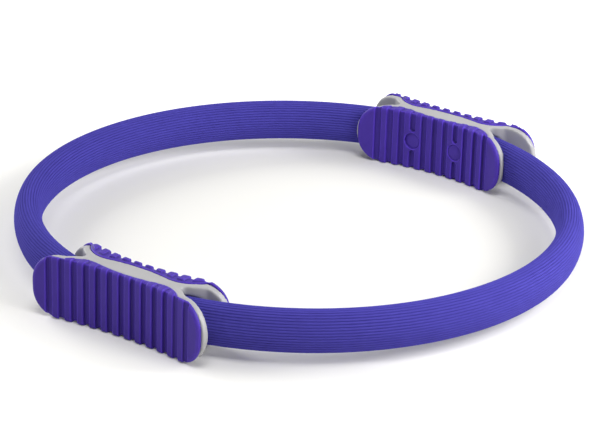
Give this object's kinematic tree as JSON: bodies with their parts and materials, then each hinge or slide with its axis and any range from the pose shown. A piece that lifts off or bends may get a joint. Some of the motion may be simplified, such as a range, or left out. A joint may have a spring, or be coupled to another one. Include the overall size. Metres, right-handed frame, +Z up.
{
  "type": "pilates ring",
  "caption": "Flexible exercise ring: sprung bands in ribbed foam sleeves, joined by opposed flared grip handles with ribbed pads inside and out, squeezed or pushed apart against its spring.",
  "frame": {"origin": "ring's centre, on the surface that the handles' pads rest on", "axes": "+Z up out of the ring's plane, +X from the left handle to the right handle, +Y to the back arc"},
  "size_m": [0.3724, 0.3618, 0.041],
  "materials": {
    "sleeve_foam": "matte",
    "grip_rubber": "satin",
    "shell_plastic": "satin",
    "spring_steel": "brushed",
    "fastener_steel": "satin",
    "plug_plastic": "satin"
  },
  "bodies": {
    "left_handle": {"left_outer_shell": "shell_plastic", "left_inner_shell": "shell_plastic", "left_outer_pad": "grip_rubber", "left_inner_pad": "grip_rubber", "left_front_screw": "fastener_steel", "left_front_nut": "fastener_steel", "left_front_plug": "plug_plastic", "left_back_screw": "fastener_steel", "left_back_nut": "fastener_steel", "left_back_plug": "plug_plastic"},
    "front_arc": {"front_sleeve": "sleeve_foam", "front_inner_band": "spring_steel", "front_outer_band": "spring_steel"},
    "right_handle": {"right_outer_shell": "shell_plastic", "right_inner_shell": "shell_plastic", "right_outer_pad": "grip_rubber", "right_inner_pad": "grip_rubber", "right_front_screw": "fastener_steel", "right_front_nut": "fastener_steel", "right_front_plug": "plug_plastic", "right_back_plug": "plug_plastic"},
    "back_arc": {"back_sleeve": "sleeve_foam", "back_inner_band": "spring_steel", "back_outer_band": "spring_steel"},
    "right_back_anchor": {"right_back_screw": "fastener_steel", "right_back_nut": "fastener_steel"}
  },
  "joints": [
    {"name": "front_flex", "type": "slide", "parent": "left_handle", "child": "front_arc", "axis": [-0.736, -0.677, 0], "range_m": [-0.0136, 0.0475], "stiffness_N_per_m": 3000, "deforming": ["front_sleeve", "front_inner_band", "front_outer_band"]},
    {"name": "right_flex", "type": "slide", "parent": "front_arc", "child": "right_handle", "axis": [-0.736, 0.677, 0], "range_m": [-0.0136, 0.0475], "deforming": ["front_sleeve", "front_inner_band", "front_outer_band"]},
    {"name": "back_flex", "type": "slide", "parent": "left_handle", "child": "back_arc", "axis": [-0.736, 0.677, 0], "range_m": [-0.0136, 0.0475], "deforming": ["back_sleeve", "back_inner_band", "back_outer_band"]},
    {"name": "anchor_flex", "type": "slide", "parent": "back_arc", "child": "right_back_anchor", "axis": [-0.736, -0.677, 0], "range_m": [-0.0136, 0.0475], "deforming": ["back_sleeve", "back_inner_band", "back_outer_band"]}
  ],
  "couplings": [
    {"joint": "right_flex", "follows": "front_flex", "ratio": 1},
    {"joint": "back_flex", "follows": "front_flex", "ratio": 1},
    {"joint": "anchor_flex", "follows": "front_flex", "ratio": 1}
  ]
}
